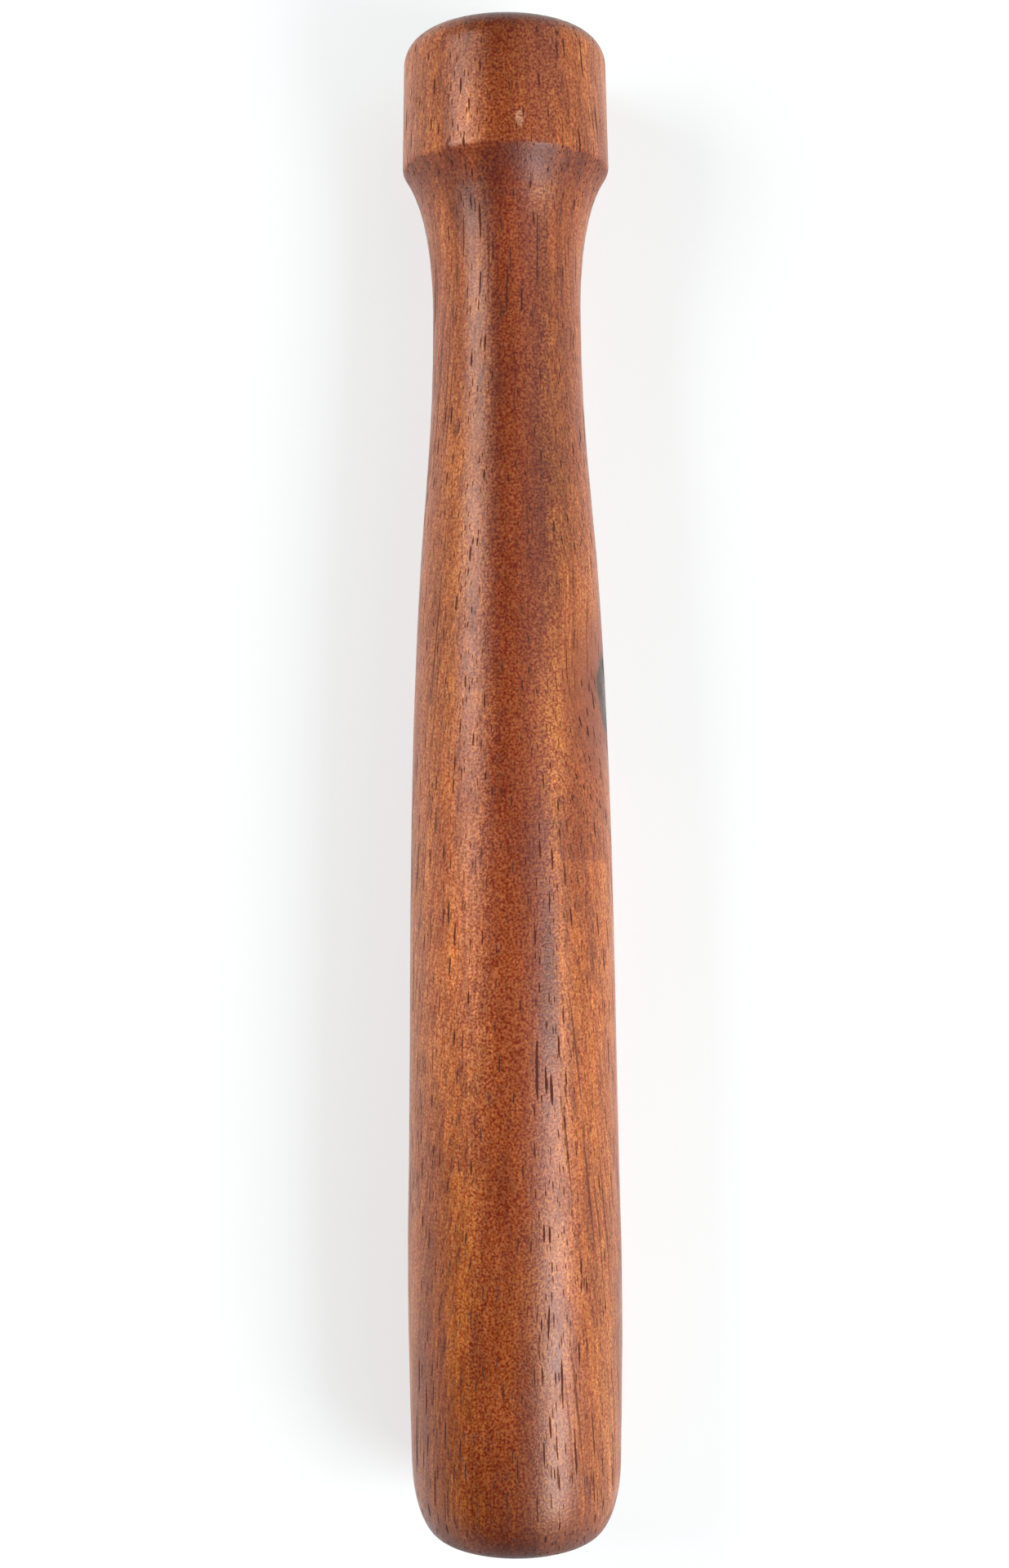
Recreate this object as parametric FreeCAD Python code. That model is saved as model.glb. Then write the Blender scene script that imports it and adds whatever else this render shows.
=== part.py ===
import FreeCAD, Part
import os

# A mallet turned from one billet of hardwood: a knob, a hollow grip and a long
# striking body. It lies along X with the knob towards +X and its fullest
# diameter touching z = 0. Its axis of turning is y = 0, z = fullest_radius.
# "Place" means a distance along the axis from the knob's flat end.

# Driving dimensions, in millimetres
length = 264.0
fullest_radius = 19.0
fullest_place = 222.0

knob_end_radius = 17.8
knob_rim_radius = 18.25
knob_length = 23.3
knob_round = 4.6
rim_round = 0.5

shoulder_drop = 4.3
shoulder_run = 6.3
grip_radius = 13.1
grip_place = 48.5
grip_lead_in = 8.5

striking_side_radius = 18.55
striking_side_fall = 0.025
striking_round_run = 12.0
striking_round_drop = 4.4

# Places and radii that the body's swell passes between the grip and its fullest
swell = [
    (60.5, 13.3), (71.0, 13.9), (92.5, 15.65), (107.0, 16.5),
    (123.0, 17.2), (174.0, 18.3), (203.0, 18.75),
]

# Handle length that makes a cubic Bezier curve follow a quarter of an ellipse
quarter_handle = 0.5523


def point(place, radius):
    """The outline's point at a place along the axis, above it by a radius."""
    return FreeCAD.Vector(length / 2 - place, 0, fullest_radius + radius)


def bezier(poles):
    """The edge of one Bezier curve through its first and last pole."""
    curve = Part.BezierCurve()
    curve.setPoles(poles)
    return curve.toShape()


def rounded_corner(start, tip, end):
    """A quarter-ellipse curve that replaces the sharp corner at the tip."""
    leave = start + (tip - start) * quarter_handle
    arrive = end + (tip - end) * quarter_handle
    return bezier([start, leave, arrive, end])


def knob_outline():
    """The knob's flat end, rounded edge and slightly flared side."""
    flat_edge = point(0, knob_end_radius - knob_round)
    tip = point(0, knob_end_radius)
    rim = point(knob_length, knob_rim_radius)
    flare = (rim - tip).normalize()
    side_start = tip + flare * knob_round
    side_end = rim - flare * rim_round
    return [
        Part.makeLine(point(0, 0), flat_edge),
        rounded_corner(flat_edge, tip, side_start),
        Part.makeLine(side_start, side_end),
    ]


def shoulder_outline():
    """The eased rim and the cove that runs from it down into the grip."""
    rim = point(knob_length, knob_rim_radius)
    tip = point(0, knob_end_radius)
    side_end = rim - (rim - tip).normalize() * rim_round
    cove_handle = point(knob_length + shoulder_run, knob_rim_radius - shoulder_drop)
    cove_start = rim + (cove_handle - rim).normalize() * rim_round
    grip_handle = point(grip_place - grip_lead_in, grip_radius)
    grip = point(grip_place, grip_radius)
    return [
        rounded_corner(side_end, rim, cove_start),
        bezier([cove_start, cove_handle, grip_handle, grip]),
    ]


def swell_edge():
    """The smooth curve from the grip out to the body's fullest diameter."""
    through = [point(grip_place, grip_radius)]
    through += [point(place, radius) for place, radius in swell]
    through.append(point(fullest_place, fullest_radius))
    along = FreeCAD.Vector(-1, 0, 0)
    curve = Part.BSplineCurve()
    curve.interpolate(Points=through, InitialTangent=along, FinalTangent=along)
    return curve.toShape()


def fall_edge():
    """The slight fall from the fullest diameter to the striking end's rounding."""
    end_place = length - striking_round_run
    handle = (end_place - fullest_place) / 3
    handle_radius = striking_side_radius + striking_side_fall * handle
    return bezier([
        point(fullest_place, fullest_radius),
        point(fullest_place + handle, fullest_radius),
        point(end_place - handle, handle_radius),
        point(end_place, striking_side_radius),
    ])


def body_outline():
    """The striking body's side, from the grip to the striking end's rounding."""
    return [swell_edge(), fall_edge()]


def striking_outline():
    """The long rounding of the striking end and its flat face."""
    start = point(length - striking_round_run, striking_side_radius)
    tip_radius = striking_side_radius - striking_side_fall * striking_round_run
    tip = point(length, tip_radius)
    end = point(length, tip_radius - striking_round_drop)
    return [
        rounded_corner(start, tip, end),
        Part.makeLine(end, point(length, 0)),
    ]


def turned_mallet():
    """The whole mallet, as the solid that its outline sweeps round its axis."""
    outline = knob_outline() + shoulder_outline() + body_outline() + striking_outline()
    axis_line = Part.makeLine(point(length, 0), point(0, 0))
    face = Part.Face(Part.Wire(outline + [axis_line]))
    return face.revolve(point(0, 0), FreeCAD.Vector(1, 0, 0), 360)


def main():
    os.makedirs("parts", exist_ok=True)
    mallet = turned_mallet()
    box = mallet.BoundBox
    print("turned_mallet", mallet.ShapeType, "valid", mallet.isValid())
    print("size", round(box.XLength, 2), round(box.YLength, 2), round(box.ZLength, 2))
    print("lowest", round(box.ZMin, 3), "volume", round(mallet.Volume))
    mallet.exportStep("parts/turned_mallet.step")


main()
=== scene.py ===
import math

import bpy
import numpy as np
from mathutils import Matrix, Vector, noise


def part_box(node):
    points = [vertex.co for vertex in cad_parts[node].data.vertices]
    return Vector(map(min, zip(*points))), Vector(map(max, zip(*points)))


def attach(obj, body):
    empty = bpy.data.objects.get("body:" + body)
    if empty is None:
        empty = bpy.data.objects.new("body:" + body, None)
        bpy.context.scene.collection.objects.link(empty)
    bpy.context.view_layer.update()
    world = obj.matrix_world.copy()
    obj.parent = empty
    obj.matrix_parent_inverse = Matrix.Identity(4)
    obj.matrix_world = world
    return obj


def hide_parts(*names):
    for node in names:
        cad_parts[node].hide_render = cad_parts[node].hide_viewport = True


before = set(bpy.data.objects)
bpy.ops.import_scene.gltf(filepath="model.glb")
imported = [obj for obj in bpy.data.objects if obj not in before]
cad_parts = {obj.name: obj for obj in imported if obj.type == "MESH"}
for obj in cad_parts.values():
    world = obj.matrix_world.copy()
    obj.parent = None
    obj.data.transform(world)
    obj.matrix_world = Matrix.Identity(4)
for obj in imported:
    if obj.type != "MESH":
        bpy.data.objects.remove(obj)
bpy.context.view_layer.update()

MM = 0.001
NODE = "turned_mallet"
LOW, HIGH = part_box(NODE)
AXIS_HEIGHT = (LOW.z + HIGH.z) / 2

# Camera: metres above the axis, offset from the mallet's middle along X and Y, roll, and lens in mm
CAMERA_ABOVE_AXIS = 0.3486
CAMERA_OFFSET = (0.00022, 0.00112)
CAMERA_ROLL = math.radians(-0.49)
CAMERA_LENS = 45.0

# Mesh density: rings along the outline and points round each ring
RING_SPACING = 0.55 * MM
POINTS_ROUND = 168

# Depth that hand sanding left, in mm: broad waves, fine ones and ripples along the axis
BROAD_RELIEF = 0.045
FINE_RELIEF = 0.022
RIPPLE_RELIEF = 0.010

# The fibres climb towards +Z by this much for each unit along +X
FIBRE_CLIMB = 0.15

# In mm from the middle of the axis: a dent in the knob's top (x, y), scratches over the top (x, y),
# and a knot in the body's -Y side (x, up)
NICK_PLACE = (112.7, -2.5)
NICK_SIZE = (1.5, 1.0)
NICK_DEPTH = 0.12
SCRATCHES = ((-6.9, -5.3), (-66.4, 3.0))
KNOT_PLACE = (16.0, 1.0)
KNOT_SIZE = (8.2, 7.8)

# The wood's ribbons, from deep to pale
RIBBONS = [
    (0.30, (0.312, 0.072, 0.012)),
    (0.45, (0.396, 0.099, 0.015)),
    (0.60, (0.454, 0.123, 0.018)),
    (0.76, (0.488, 0.140, 0.021)),
]
OPEN_VESSEL = (0.060, 0.006, 0.001, 1.0)
SCUFFED_WOOD = (0.62, 0.36, 0.22, 1.0)
KNOT_HALO = (0.240, 0.054, 0.020, 1.0)
KNOT_DEEP = (0.052, 0.022, 0.010, 1.0)
KNOT_PALE = (0.105, 0.046, 0.018, 1.0)

# Tints, which multiply the wood's colour
# painted shade: the top and underside darker, standing in for less light on the top, partly the wood's
# own figure
TOP_PAINTED_SHADE_TINT = (0.58, 0.415, 0.44)
GROWTH_LINE_TINT = (0.78, 0.68, 0.68)
STAIN_TINT = (0.72, 0.60, 0.60)
MAUVE_TINT = (0.89, 0.84, 1.0)
END_GRAIN_TINT = (0.55, 0.52, 0.60)
# painted shade on faces turned towards the striking end, partly end grain
PAINTED_SHADE_FACING_STRIKING_END = (0.68, 0.52, 0.48)
SCRATCH_TINT = (0.35, 0.30, 0.35)
KNOT_RIM_TINT = (0.42, 0.42, 0.42)

# How far the fine grains lift red, green and blue. The pale lift is partly the wood's own grain and
# partly painted sparkle of the highlights.
GRAIN_LIFT_WITH_PAINTED_SPARKLE = (0.9, 2.1, 5.5)

# Relief of the bump: its full depth in mm, and the grains' share of it
BUMP_DEPTH = 0.10
GRAIN_SHARE = 0.25

# Where hairlines and bold vessels lie open: centre and reach in mm from the middle of the axis
HAIRLINES_RIGHT = ((-75.0, -12.5, 13.5), (78.0, 9.0, 9.0))
HAIRLINES_LEFT = ((50.0, 12.0, 8.0), (75.0, 5.0, 12.0))
BOLD_ON_BODY = ((-58.0, -6.0, 17.0), (95.0, 4.5, 6.5))
BOLD_ON_NECK = ((90.0, -2.0, 14.0), (24.0, 10.0, 7.0))

# Broad differences of tone in the wood, and patches of painted light and shade where their names say
# so: centre and reach in mm from the middle of the axis, and tint.
# Left is +Y and right is -Y, as seen from above with the knob ahead.
TONES = {
    "pale left side": ((-24.0, 10.0, 15.0), (62.0, 13.0, 13.0), (1.31, 1.37, 1.90)),
    # painted light on the right flank, where the striking side's softbox falls
    "painted light on the right side": ((-32.0, -15.0, 9.0), (50.0, 12.0, 12.0), (1.12, 1.17, 1.08)),
    "pale right of the top": ((12.0, -6.4, 17.0), (34.0, 4.0, 7.0), (1.65, 2.20, 1.80)),
    "slashes right of the top": ((-35.0, -6.3, 17.5), (22.0, 2.6, 5.0), (0.48, 0.40, 0.36)),
    "pale side of the knob": ((112.0, 7.0, 16.0), (14.0, 5.0, 8.0), (1.15, 1.14, 1.12)),
    "deep front of the knob": ((133.0, 1.0, 17.0), (22.0, 12.0, 9.0), (0.58, 0.54, 0.62)),
    # painted shade in the cove under the knob's rim
    "painted shade in the cove's left": ((101.0, 5.5, 13.0), (13.0, 7.0, 7.0), (0.56, 0.50, 0.50)),
    # painted highlight: the softbox's reflection in the cove, paler in green and blue
    "painted highlight right of the cove": ((102.5, -5.5, 13.0), (8.0, 4.5, 6.0), (1.60, 2.30, 2.60)),
    "deep left of the grip's top": ((68.0, 3.2, 14.0), (46.0, 6.5, 8.0), (0.77, 0.75, 0.80)),
    "dim right of the grip": ((56.0, -8.0, 12.0), (54.0, 8.5, 12.0), (0.62, 0.58, 0.64)),
    "deep left of the striking end": ((-118.0, 12.0, 11.0), (62.0, 14.5, 17.0), (0.72, 0.60, 0.36)),
    # painted shade: the light falling off on the right towards the striking end
    "painted falloff of light right of the striking end": ((-105.0, -15.0, 8.0), (64.0, 12.0, 13.0), (0.82, 0.86, 0.87)),
    "deep top of the striking end": ((-100.0, -3.5, 18.0), (46.0, 8.0, 9.0), (0.72, 0.72, 0.74)),
    # painted shade on the striking end's rounding, which is turned away from the lights
    "painted shade on the striking end's rounding": ((-134.0, -1.0, 13.0), (34.0, 20.0, 18.0), (0.48, 0.45, 0.40)),
}

# Floor: half its width in metres, its colour and its glow
FLOOR_HALF_WIDTH = 15.0
FLOOR_COLOUR = (0.42, 0.45, 0.46, 1.0)
FLOOR_GLOW = 0.565

# Softboxes: place and size in metres, and power in watts
SOFTBOXES = {
    "softbox_knob_side": ((0.19, 0.452, 0.426), (0.42, 0.28), 2.5),
    "softbox_striking_side": ((-0.30, -0.437, 0.466), (0.46, 0.28), 3.35),
}
SOFTBOX_TINT = (1.0, 0.995, 0.98)

# Air round the set: strength at the horizon, and overhead on the -Y side and the +Y side
HORIZON_STRENGTH = 0.90
BRIGHT_SIDE_STRENGTH = 0.90
DARK_SIDE_STRENGTH = 0.08

WHITE = (1.0, 1.0, 1.0, 1.0)


class Graph:
    """Makes a material's or a world's nodes, and wires each one as it is made."""

    def __init__(self, material):
        self.tree = material.node_tree
        self.tree.nodes.clear()

    def node(self, kind, **settings):
        made = self.tree.nodes.new(kind)
        for name, value in settings.items():
            setattr(made, name, value)
        return made

    def put(self, socket, value):
        if isinstance(value, bpy.types.NodeSocket):
            self.tree.links.new(value, socket)
        elif value is not None:
            socket.default_value = value

    def math(self, operation, a, b=None, c=None):
        made = self.node("ShaderNodeMath", operation=operation)
        for socket, value in zip(made.inputs, (a, b, c)):
            self.put(socket, value)
        return made.outputs[0]

    def vector(self, operation, a, b):
        made = self.node("ShaderNodeVectorMath", operation=operation)
        self.put(made.inputs[0], a)
        self.put(made.inputs[1], b)
        return made.outputs["Vector"]

    def scaled(self, vector, factor):
        made = self.node("ShaderNodeVectorMath", operation="SCALE")
        self.put(made.inputs[0], vector)
        self.put(made.inputs["Scale"], factor)
        return made.outputs["Vector"]

    def split(self, vector):
        made = self.node("ShaderNodeSeparateXYZ")
        self.put(made.inputs[0], vector)
        return made.outputs

    def join(self, x, y, z):
        made = self.node("ShaderNodeCombineXYZ")
        for socket, value in zip(made.inputs, (x, y, z)):
            self.put(socket, value)
        return made.outputs[0]

    def noise(self, vector, scale, detail=2.0, roughness=0.5):
        made = self.node("ShaderNodeTexNoise")
        self.put(made.inputs["Vector"], vector)
        self.put(made.inputs["Scale"], scale)
        self.put(made.inputs["Detail"], detail)
        self.put(made.inputs["Roughness"], roughness)
        return made.outputs["Fac"]

    def cells(self, vector, scale):
        """Cells in the x-y plane: the distance to a cell's centre, and its random colour."""
        made = self.node("ShaderNodeTexVoronoi", feature="F1", voronoi_dimensions="2D")
        self.put(made.inputs["Vector"], vector)
        self.put(made.inputs["Scale"], scale)
        return made.outputs["Distance"], made.outputs["Color"]

    def centred_noise(self, vector, scale, detail=2.0):
        """Noise moved down so that its mean is 0."""
        return self.math("SUBTRACT", self.noise(vector, scale, detail), 0.5)

    def length(self, vector):
        made = self.node("ShaderNodeVectorMath", operation="LENGTH")
        self.put(made.inputs[0], vector)
        return made.outputs["Value"]

    def tinted(self, amount, colour, tint):
        """The colour times the tint, as far as the amount says."""
        return self.mix(amount, colour, self.mix(1.0, colour, (*tint, 1.0), "MULTIPLY"))

    def product(self, *factors):
        result = factors[0]
        for factor in factors[1:]:
            result = self.math("MULTIPLY", result, factor)
        return result

    def total(self, *terms):
        result = terms[0]
        for term in terms[1:]:
            result = self.math("ADD", result, term)
        return result

    def ease(self, value, low, high, to_low=0.0, to_high=1.0):
        """A smooth step from to_low to to_high, as the value goes from low to high."""
        made = self.node("ShaderNodeMapRange", interpolation_type="SMOOTHSTEP")
        for name, number in (
            ("Value", value), ("From Min", low), ("From Max", high),
            ("To Min", to_low), ("To Max", to_high),
        ):
            self.put(made.inputs[name], number)
        return made.outputs[0]

    def mix(self, factor, a, b, blend="MIX"):
        made = self.node("ShaderNodeMix", data_type="RGBA", blend_type=blend)
        self.put(made.inputs["Factor"], factor)
        self.put(made.inputs["A"], a)
        self.put(made.inputs["B"], b)
        return made.outputs["Result"]

    def ramp(self, value, stops):
        made = self.node("ShaderNodeValToRGB")
        elements = made.color_ramp.elements
        while len(elements) < len(stops):
            elements.new(0.5)
        for element, (position, colour) in zip(elements, stops):
            element.position = position
            element.color = (*colour, 1.0)
        self.put(made.inputs[0], value)
        return made.outputs["Color"]


def outline_from_frame():
    """The mallet's outline as (x, radius) points, read from the CAD node's vertices."""
    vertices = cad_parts[NODE].data.vertices
    flat = np.zeros(len(vertices) * 3, np.float32)
    vertices.foreach_get("co", flat)
    points = flat.reshape(-1, 3).astype(float)
    radii = np.hypot(points[:, 1], points[:, 2] - AXIS_HEIGHT)
    stations = {}
    for x, radius in zip(np.round(points[:, 0], 6), radii):
        stations.setdefault(x, []).append(radius)
    outline = [(x, float(np.mean(found))) for x, found in sorted(stations.items())]
    return np.array([(LOW.x, 0.0)] + outline + [(HIGH.x, 0.0)])


def spaced_outline(outline, spacing):
    """The outline again, as points evenly spaced along it."""
    steps = np.hypot(*np.diff(outline, axis=0).T)
    along = np.concatenate(([0.0], np.cumsum(steps)))
    places = np.linspace(0.0, along[-1], int(along[-1] / spacing) + 1)
    return np.column_stack([np.interp(places, along, outline[:, i]) for i in (0, 1)])


def hand_relief(x, angle):
    """How far hand sanding left the surface from a true turning, in metres."""
    round_y = math.sin(angle)
    round_z = math.cos(angle)
    broad = noise.noise(Vector((x / 0.030, round_y * 1.1, round_z * 1.1)))
    fine = noise.noise(Vector((x / 0.009 + 7.0, round_y * 3.2, round_z * 3.2)))
    ripple = noise.noise(Vector((x / 0.004, 3.0 + round_y * 0.4, round_z * 0.4)))
    return (BROAD_RELIEF * broad + FINE_RELIEF * fine + RIPPLE_RELIEF * ripple) * MM


def nick_relief(x, y, z):
    """The depth of the small dent in the knob's top at a point, in metres."""
    if z < AXIS_HEIGHT:
        return 0.0
    along = (x / MM - NICK_PLACE[0]) / NICK_SIZE[0]
    across = (y / MM - NICK_PLACE[1]) / NICK_SIZE[1]
    return NICK_DEPTH * MM * math.exp(-(along * along + across * across))


def mallet_mesh():
    """The mallet's surface: rings swept round the outline, closed at both ends."""
    rings = spaced_outline(outline_from_frame(), RING_SPACING)
    slopes = np.gradient(rings, axis=0)
    vertices = [(rings[0][0], 0.0, AXIS_HEIGHT)]
    for (x, radius), (run, rise) in zip(rings[1:-1], slopes[1:-1]):
        size = math.hypot(run, rise)
        for step in range(POINTS_ROUND):
            angle = 2 * math.pi * step / POINTS_ROUND
            y = radius * math.sin(angle)
            z = AXIS_HEIGHT + radius * math.cos(angle)
            lift = hand_relief(x, angle) * abs(run) / size - nick_relief(x, y, z)
            out = 1 + lift / radius
            vertices.append((x, y * out, AXIS_HEIGHT + (z - AXIS_HEIGHT) * out))
    vertices.append((rings[-1][0], 0.0, AXIS_HEIGHT))
    faces = ring_faces(len(rings) - 2, len(vertices) - 1)
    mesh = bpy.data.meshes.new("mallet_surface")
    mesh.from_pydata(vertices, [], faces)
    mesh.polygons.foreach_set("use_smooth", [True] * len(faces))
    mesh.validate()
    return mesh


def ring_faces(ring_count, last_vertex):
    """A fan at each end's centre and quads between neighbouring rings."""
    faces = []
    last_ring = 1 + (ring_count - 1) * POINTS_ROUND
    for step in range(POINTS_ROUND):
        following = (step + 1) % POINTS_ROUND
        faces.append((0, 1 + step, 1 + following))
        faces.append((last_vertex, last_ring + following, last_ring + step))
        for ring in range(ring_count - 1):
            near = 1 + ring * POINTS_ROUND
            far = near + POINTS_ROUND
            faces.append((near + step, far + step, far + following, near + following))
    return faces


def knot_reach(g, x, up):
    """Distance from the knot's centre, counted in knot sizes."""
    along = g.math("DIVIDE", g.math("SUBTRACT", x, KNOT_PLACE[0]), KNOT_SIZE[0])
    above = g.math("DIVIDE", g.math("SUBTRACT", up, KNOT_PLACE[1]), KNOT_SIZE[1])
    return g.math("SQRT", g.total(g.product(along, along), g.product(above, above)))


def wood_space(g):
    """Coordinates in the wood, in mm: along the fibres, across, and up, bent round the knot."""
    place = g.scaled(g.node("ShaderNodeTexCoord").outputs["Object"], 1 / MM)
    x, y, z = g.split(place)
    up = g.math("SUBTRACT", z, AXIS_HEIGHT / MM)
    reach = knot_reach(g, x, up)
    side = g.ease(y, -12.0, -3.0, 1.0, 0.0)
    push = g.product(side, g.ease(reach, 0.6, 3.2, 0.55, 0.0))
    away = g.product(g.math("SUBTRACT", up, KNOT_PLACE[1]), push)
    sway = g.centred_noise(g.join(g.math("DIVIDE", x, 60.0), 0.0, 0.0), 1.0, 1.0)
    near = g.join(g.math("DIVIDE", x, 20.0), g.math("DIVIDE", y, 9.0), g.math("DIVIDE", up, 9.0))
    wobble = g.centred_noise(near, 1.0, 2.0)
    kinks = g.centred_noise(g.join(g.math("DIVIDE", x, 2.2), g.math("DIVIDE", y, 1.5), up), 1.0, 1.0)
    climb = g.math("MULTIPLY", x, FIBRE_CLIMB)
    level = g.math("SUBTRACT", g.math("SUBTRACT", up, away), climb)
    return {
        "place": place, "x": x, "y": y, "up": up, "centred": g.join(x, y, up),
        "across": g.total(y, g.product(sway, 4.0), g.product(wobble, 0.8)),
        "level": g.total(level, g.product(wobble, 0.6), g.product(kinks, 0.22)),
        "knot": reach, "side": side,
    }


def stretched(g, wood, length, shift=0.0):
    """Wood coordinates shrunk along the fibres, so that a texture comes out that many times longer."""
    along = g.math("ADD", g.math("DIVIDE", wood["x"], length), shift)
    return g.join(along, wood["across"], wood["level"])


def patch(g, wood, centre, size):
    """A soft ellipsoid in the wood: 1 at its centre, falling to 0 at its size."""
    shrunk = g.vector("DIVIDE", g.vector("SUBTRACT", wood["centred"], centre), size)
    return g.ease(g.length(shrunk), 0.0, 1.0, 1.0, 0.0)


def vessels(g, wood, spacing, thin, thick, shift, flatter=0.0):
    """Long tubes along the fibres, one to each cell, which the surface cuts into dashes and lines.

    Spacing and the thinnest and thickest radius are in mm.
    """
    level = g.total(wood["level"], g.product(wood["x"], flatter))
    section = g.join(g.math("ADD", wood["across"], shift), level, 0.0)
    distance, chance = g.cells(section, 1.0 / spacing)
    lot, other, _ = g.split(chance)
    along = g.math("ADD", g.math("DIVIDE", wood["x"], 9.0), g.math("MULTIPLY", other, 40.0))
    swell = g.noise(g.join(along, lot, 0.0), 1.0, 1.0)
    radius = g.product(g.ease(lot, 0.0, 1.0, thin, thick), g.ease(swell, 0.36, 0.56))
    depth = g.math("SUBTRACT", g.math("MULTIPLY", distance, spacing), radius)
    return g.ease(depth, -0.04, 0.02, 1.0, 0.0)


def long_lines(g, wood):
    """Hairline vessels laid open for a long way where the surface runs along the fibres."""
    angle = g.math("ARCTAN2", g.math("ABSOLUTE", wood["y"]), wood["up"])
    around = g.total(g.product(angle, 15.0), g.product(wood["x"], 0.09))
    wavy = g.centred_noise(g.join(g.math("DIVIDE", wood["x"], 12.0), around, 0.0), 0.5, 1.0)
    sheet = g.join(g.math("DIVIDE", wood["x"], 80.0), g.total(around, wavy), 0.0)
    distance, _ = g.cells(sheet, 1.0)
    open_line = g.ease(distance, 0.10, 0.21, 1.0, 0.0)
    right = patch(g, wood, *HAIRLINES_RIGHT)
    left = patch(g, wood, *HAIRLINES_LEFT)
    return g.product(open_line, g.ease(g.total(right, left), 0.1, 0.5))


def pores(g, wood, top):
    """How much of a point is open vessel, from 0 to 1. The top shows fewer and smaller ones."""
    crowd = g.noise(stretched(g, wood, 12.0, 9.0), 0.22, 2.0)
    many = g.ease(crowd, 0.30, 0.50, 0.6, 1.0)
    large_thick = g.ease(top, 0.0, 1.0, 0.21, 0.15)
    small_thick = g.ease(top, 0.0, 1.0, 0.125, 0.06)
    large = vessels(g, wood, spacing=1.1, thin=0.05, thick=large_thick, shift=0.0, flatter=0.045)
    small = vessels(g, wood, spacing=0.62, thin=0.02, thick=small_thick, shift=31.0)
    bold = vessels(g, wood, spacing=1.3, thin=0.14, thick=0.28, shift=57.0, flatter=0.09)
    bold_body = g.ease(patch(g, wood, *BOLD_ON_BODY), 0.05, 0.4)
    bold_neck = g.ease(patch(g, wood, *BOLD_ON_NECK), 0.2, 0.6)
    bold = g.product(bold, g.math("MINIMUM", g.total(bold_body, bold_neck), 1.0))
    found = g.math("MAXIMUM", g.product(large, many), g.product(small, 0.8))
    return g.math("MAXIMUM", g.math("MAXIMUM", found, bold), g.product(long_lines(g, wood), 0.7))


def painted_shade_top_band(g, wood, grain):
    """1 along the mallet's top and underside, where the fibres come up through the surface. It carries
    painted shade along the top and underside, partly the wood's own figure, and also sets the pores and
    streaks there.
    """
    round_reach = g.math("MAXIMUM", g.length(g.join(0.0, wood["y"], wood["up"])), 11.0)
    lean = g.ease(wood["x"], -110.0, 70.0, 0.05, -0.13)
    leaning = g.total(g.product(wood["up"], 0.99), g.product(wood["y"], lean))
    face = g.math("DIVIDE", g.math("ABSOLUTE", leaning), round_reach)
    wander = g.centred_noise(stretched(g, wood, 6.0, 3.7), 0.3, 2.0)
    uneven = g.total(g.product(wander, 0.10), g.product(grain, -0.03))
    band = g.ease(g.total(face, uneven), 0.867, 0.957)
    on_knob = g.ease(wood["x"], 106.0, 109.0, 1.0, 0.75)
    on_end = g.ease(wood["x"], -90.0, -10.0, 0.75, 1.0)
    return g.product(band, on_knob, on_end)


def granules(g, wood):
    """Fine grains about half a millimetre across, from 0 to 1 with a mean of 0.5."""
    return g.ease(g.noise(wood["place"], 2.4, 2.0, 0.5), 0.2, 0.8)


def streaked(g, wood, body, top):
    """Streaks along the fibres. The darker ones are redder too."""
    broad = g.centred_noise(stretched(g, wood, 45.0, 5.1), 0.75, 2.0)
    thin = g.centred_noise(stretched(g, wood, 60.0, 2.2), 2.6, 1.0)
    streaks = g.total(g.product(broad, 0.9), g.product(thin, 1.1))
    shade = g.total(g.product(streaks, g.ease(top, 0.0, 1.0, 1.0, 0.5)), 1.0)
    redder = g.join(shade, g.math("POWER", shade, 1.2), g.math("POWER", shade, 1.35))
    return g.mix(1.0, body, redder, "MULTIPLY")


def grainy_with_painted_sparkle(g, body, top, end_grain, grain):
    """The fine grains on the colour: high ones are paler, and what lies between is a deeper red. The
    paler grains are partly painted sparkle of the highlights.
    """
    strength = g.product(g.ease(top, 0.0, 1.0, 0.9, 1.2), g.ease(end_grain, 0.3, 1.0, 1.0, 0.35))
    raised = g.product(g.math("SUBTRACT", grain, 0.5), strength)
    lifts = [g.math("MULTIPLY_ADD", raised, lift, 1.0) for lift in GRAIN_LIFT_WITH_PAINTED_SPARKLE]
    lifted = g.join(*[g.math("MAXIMUM", lift, 0.1) for lift in lifts])
    return g.mix(1.0, body, lifted, "MULTIPLY")


def growth_lines(g, wood, top, end_grain):
    """Thin dark lines of the growth layers, seen on the flanks and on the end grain."""
    layers = g.join(g.math("DIVIDE", wood["x"], 70.0), g.product(wood["across"], 0.35), wood["level"])
    line = g.ease(g.noise(layers, 1.5, 1.0), 0.55, 0.66)
    return g.product(line, g.math("MAXIMUM", g.ease(top, 0.0, 0.6, 1.0, 0.0), end_grain))


def stain(g, wood):
    """A stain on the upper -Y flank: sharp on the striking side, fading out beside the knot."""
    along = g.product(g.ease(wood["x"], -13.6, -12.6), g.ease(wood["x"], 4.0, 22.0, 1.0, 0.0))
    return g.product(along, g.ease(wood["y"], -11.0, -7.0, 1.0, 0.0), g.ease(wood["up"], 4.0, 8.0))


def toned(g, wood, body, top, end_grain):
    """The broad differences of tone over the mallet, among them painted shade along the top and painted
    light and shade in some patches.
    """
    # painted shade along the top and underside
    body = g.tinted(top, body, TOP_PAINTED_SHADE_TINT)
    body = g.tinted(growth_lines(g, wood, top, end_grain), body, GROWTH_LINE_TINT)
    for centre, reach, tint in TONES.values():
        body = g.tinted(patch(g, wood, centre, reach), body, tint)
    return g.tinted(stain(g, wood), body, STAIN_TINT)


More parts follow.
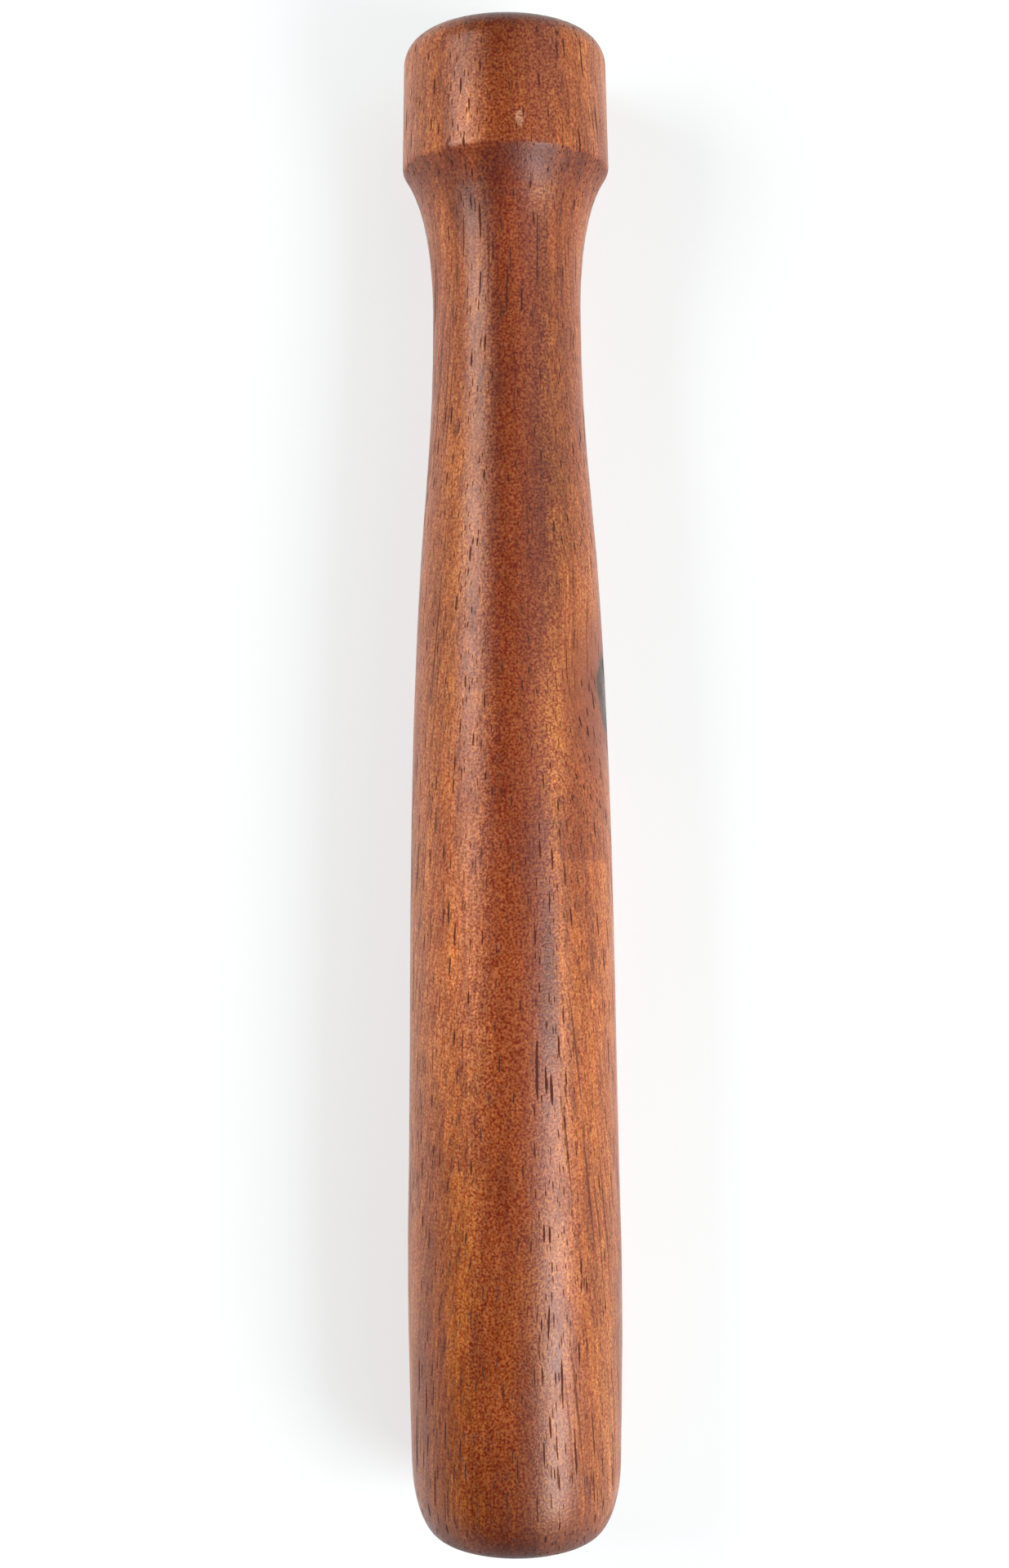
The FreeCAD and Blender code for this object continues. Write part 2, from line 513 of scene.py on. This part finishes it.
def knot_tone(g, wood, body):
    """A dark ringed knot with a reddish halo."""
    bent = g.product(g.centred_noise(wood["place"], 0.16, 2.0), 0.5)
    frayed = g.product(g.centred_noise(wood["place"], 0.8, 2.0), 0.35)
    edge = g.total(wood["knot"], bent, frayed)
    halo = g.product(wood["side"], g.ease(edge, 0.9, 2.6, 0.80, 0.0))
    body = g.mix(halo, body, KNOT_HALO)
    rings = g.ease(g.noise(g.join(g.product(edge, 6.0), 0.0, 0.0), 1.6, 2.0), 0.35, 0.65)
    knot_wood = g.mix(rings, KNOT_DEEP, KNOT_PALE)
    knot_wood = g.tinted(g.ease(edge, 0.3, 0.8), knot_wood, KNOT_RIM_TINT)
    inside = g.product(wood["side"], g.ease(edge, 0.72, 1.0, 1.0, 0.0))
    return g.mix(inside, body, knot_wood)


def scuffed(g, wood, body, grain):
    """A small pale rough spot in the dent on the knob, and hairline scratches across the fibres."""
    spot = g.ease(patch(g, wood, (*NICK_PLACE, 17.6), (2.6, 1.5, 4.0)), 0.2, 0.6)
    rough_spot = g.product(spot, g.ease(grain, 0.2, 0.9, 0.1, 0.65))
    body = g.mix(rough_spot, body, SCUFFED_WOOD)
    for x, y in SCRATCHES:
        drift = g.total(wood["x"], g.product(wood["y"], 0.05))
        line = g.ease(g.math("ABSOLUTE", g.math("SUBTRACT", drift, x)), 0.04, 0.16, 1.0, 0.0)
        span = g.ease(g.math("ABSOLUTE", g.math("SUBTRACT", wood["y"], y)), 2.5, 4.5, 1.0, 0.0)
        on_top = g.ease(wood["up"], 8.0, 10.0)
        body = g.tinted(g.product(line, span, on_top, 0.5), body, SCRATCH_TINT)
    return body


def wood_colour(g, wood, top, open_pores, normal_x, grain):
    """Reddish brown in broad ribbons, fine streaks and fine grains, with dark open vessels, and painted
    shade, light and sparkle mixed in.
    """
    ribbons = g.noise(stretched(g, wood, 22.0, 1.3), 0.15, 3.0, 0.55)
    body = g.ramp(ribbons, RIBBONS)
    end_grain = g.ease(g.math("ABSOLUTE", normal_x), 0.2, 0.9)
    body = toned(g, wood, body, top, end_grain)
    mauve = g.ease(g.noise(stretched(g, wood, 5.0, 6.6), 0.30, 2.0), 0.45, 0.65, 0.0, 0.8)
    body = g.tinted(mauve, body, MAUVE_TINT)
    body = streaked(g, wood, body, top)
    body = grainy_with_painted_sparkle(g, body, top, end_grain, grain)
    body = g.tinted(end_grain, body, END_GRAIN_TINT)
    # painted shade on faces turned towards the striking end: the cove and the end's rounding, away from
    # the lights
    body = g.tinted(g.ease(normal_x, -0.45, -0.06, 1.0, 0.0), body, PAINTED_SHADE_FACING_STRIKING_END)
    body = scuffed(g, wood, body, grain)
    body = knot_tone(g, wood, body)
    return g.mix(g.product(open_pores, 0.9), body, OPEN_VESSEL)


def wood_material():
    """Oiled open-pored hardwood, solid all through, so that every face shows the right cut."""
    material = bpy.data.materials.new("oiled_hardwood_grain")
    material.use_nodes = True
    g = Graph(material)
    wood = wood_space(g)
    normal_x, _, _ = g.split(g.node("ShaderNodeTexCoord").outputs["Normal"])
    grain = granules(g, wood)
    # the band along the top and underside, which carries painted shade
    top = painted_shade_top_band(g, wood, grain)
    open_pores = pores(g, wood, top)
    shader = g.node("ShaderNodeBsdfPrincipled")
    g.put(shader.inputs["Base Color"], wood_colour(g, wood, top, open_pores, normal_x, grain))
    patches = g.noise(wood["place"], 0.12, 3.0)
    rough = g.ease(patches, 0.3, 0.7, 0.30, 0.38)
    facing_back = g.ease(normal_x, -0.6, -0.1, 0.12, 0.0)
    g.put(shader.inputs["Roughness"], g.total(rough, facing_back, g.product(open_pores, 0.6)))
    shader.inputs["Specular IOR Level"].default_value = 0.5
    height = g.math("SUBTRACT", g.product(grain, GRAIN_SHARE), open_pores)
    bump = g.node("ShaderNodeBump")
    bump.inputs["Strength"].default_value = 1.0
    bump.inputs["Distance"].default_value = BUMP_DEPTH * MM
    g.put(bump.inputs["Height"], height)
    g.put(shader.inputs["Normal"], bump.outputs["Normal"])
    output = g.node("ShaderNodeOutputMaterial")
    g.put(output.inputs["Surface"], shader.outputs["BSDF"])
    return material


def add_mallet():
    """The mallet's surface in its wood, in place of the plain CAD node."""
    piece = bpy.data.objects.new("mallet_visual", mallet_mesh())
    bpy.context.scene.collection.objects.link(piece)
    piece.data.materials.append(wood_material())
    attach(piece, "root")
    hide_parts(NODE)


def add_camera():
    """A camera straight above, looking down, with the knob towards the top of the picture."""
    data = bpy.data.cameras.new("camera")
    data.lens = CAMERA_LENS
    data.clip_start = 0.01
    data.clip_end = 10.0
    camera = bpy.data.objects.new("camera", data)
    bpy.context.scene.collection.objects.link(camera)
    middle = (LOW + HIGH) / 2
    along, across = CAMERA_OFFSET
    place = Vector((middle.x + along, middle.y + across, AXIS_HEIGHT + CAMERA_ABOVE_AXIS))
    turn = Matrix.Rotation(-math.pi / 2 + CAMERA_ROLL, 4, "Z")
    camera.matrix_world = Matrix.Translation(place) @ turn
    bpy.context.scene.camera = camera


def add_floor():
    """A wide, pale, plain floor under the mallet."""
    half = FLOOR_HALF_WIDTH
    mesh = bpy.data.meshes.new("floor")
    corners = [(-half, -half, 0), (half, -half, 0), (half, half, 0), (-half, half, 0)]
    mesh.from_pydata(corners, [], [(0, 1, 2, 3)])
    floor = bpy.data.objects.new("floor", mesh)
    bpy.context.scene.collection.objects.link(floor)
    material = bpy.data.materials.new("floor_paper")
    material.use_nodes = True
    shader = material.node_tree.nodes["Principled BSDF"]
    shader.inputs["Base Color"].default_value = FLOOR_COLOUR
    shader.inputs["Roughness"].default_value = 0.9
    shader.inputs["Specular IOR Level"].default_value = 0.1
    shader.inputs["Emission Color"].default_value = WHITE
    shader.inputs["Emission Strength"].default_value = FLOOR_GLOW
    mesh.materials.append(material)


def add_softbox(name, place, size, power):
    """A rectangular light above the floor, aimed at the mallet's axis half as far from the middle."""
    data = bpy.data.lights.new(name, "AREA")
    data.shape = "RECTANGLE"
    data.size, data.size_y = size
    data.energy = power
    data.color = SOFTBOX_TINT
    lamp = bpy.data.objects.new(name, data)
    bpy.context.scene.collection.objects.link(lamp)
    target = Vector((place[0] * 0.5, 0.0, AXIS_HEIGHT))
    towards = (target - Vector(place)).normalized()
    sideways = Vector((1.0, 0.0, 0.0))
    upwards = towards.cross(sideways).normalized()
    sideways = upwards.cross(towards).normalized()
    axes = Matrix((sideways, upwards, -towards)).transposed().to_4x4()
    lamp.matrix_world = Matrix.Translation(place) @ axes


def add_world():
    """Pale air round the set: bright at the horizon and over the -Y side, dark over the +Y side."""
    world = bpy.data.worlds.new("studio_air")
    bpy.context.scene.world = world
    world.use_nodes = True
    g = Graph(world)
    _, side, height = g.split(g.node("ShaderNodeTexCoord").outputs["Generated"])
    overhead = g.ease(side, -0.60, 0.10, BRIGHT_SIDE_STRENGTH, DARK_SIDE_STRENGTH)
    low = g.ease(height, 0.05, 0.35, 1.0, 0.0)
    horizon_light = g.product(low, HORIZON_STRENGTH)
    overhead_light = g.product(g.math("SUBTRACT", 1.0, low), overhead)
    background = g.node("ShaderNodeBackground")
    background.inputs["Color"].default_value = WHITE
    g.put(background.inputs["Strength"], g.total(horizon_light, overhead_light))
    output = g.node("ShaderNodeOutputWorld")
    g.put(output.inputs["Surface"], background.outputs["Background"])


def add_lights():
    """A softbox on each side of the mallet."""
    for name, (place, size, power) in SOFTBOXES.items():
        add_softbox(name, place, size, power)


bpy.context.scene.view_settings.view_transform = "Standard"
add_camera()
add_floor()
add_world()
add_lights()
add_mallet()
